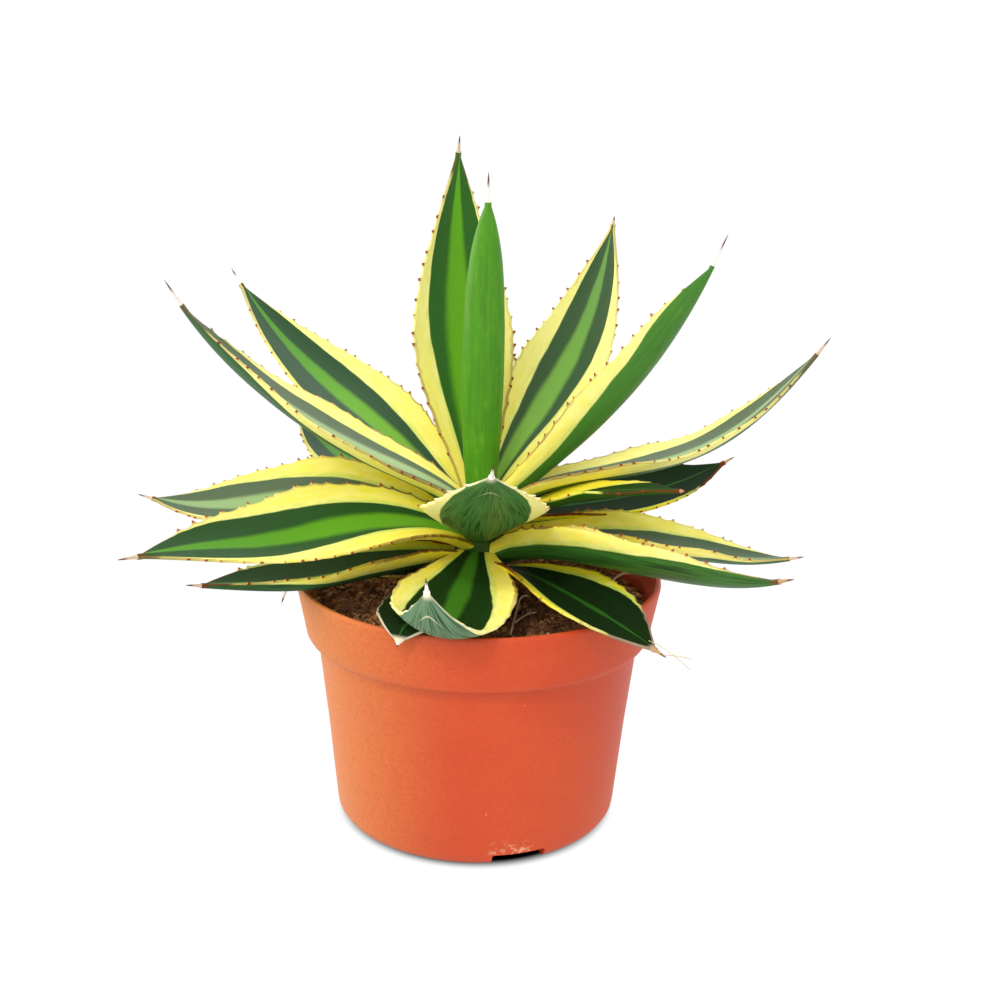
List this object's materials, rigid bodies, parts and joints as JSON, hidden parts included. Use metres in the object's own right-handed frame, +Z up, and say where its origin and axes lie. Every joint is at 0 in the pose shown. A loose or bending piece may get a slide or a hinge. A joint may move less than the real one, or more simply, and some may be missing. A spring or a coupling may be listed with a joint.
{
  "type": "potted agave plant",
  "caption": "Young variegated agave: a rosette of stiff pointed leaves with toothed edges, in a round plastic nursery pot filled with potting mix.",
  "frame": {"origin": "middle of the pot's flat foot, on the face it stands on", "axes": "+Z up along the pot's axis, -Y towards the side shown in the picture, +X to that view's right"},
  "size_m": [0.2352, 0.1951, 0.2252],
  "materials": {
    "pot_plastic": "moulded terracotta-orange plastic, satin",
    "potting_mix": "loose dark brown peat and bark mix",
    "crown_flesh": "firm green plant flesh",
    "leaf_flesh": "waxy green leaf with cream-yellow edges, satin"
  },
  "bodies": {
    "root": {"pot": "pot_plastic", "soil": "potting_mix", "crown": "crown_flesh", "leaf_01": "leaf_flesh", "leaf_02": "leaf_flesh", "leaf_03": "leaf_flesh", "leaf_04": "leaf_flesh", "leaf_05": "leaf_flesh", "leaf_06": "leaf_flesh", "leaf_07": "leaf_flesh", "leaf_08": "leaf_flesh", "leaf_09": "leaf_flesh", "leaf_10": "leaf_flesh", "leaf_11": "leaf_flesh", "leaf_12": "leaf_flesh", "leaf_13": "leaf_flesh", "leaf_14": "leaf_flesh", "leaf_15": "leaf_flesh", "leaf_16": "leaf_flesh", "leaf_17": "leaf_flesh", "leaf_18": "leaf_flesh", "leaf_19": "leaf_flesh", "leaf_20": "leaf_flesh", "leaf_21": "leaf_flesh", "leaf_22": "leaf_flesh", "leaf_23": "leaf_flesh", "leaf_24": "leaf_flesh"}
  },
  "joints": []
}
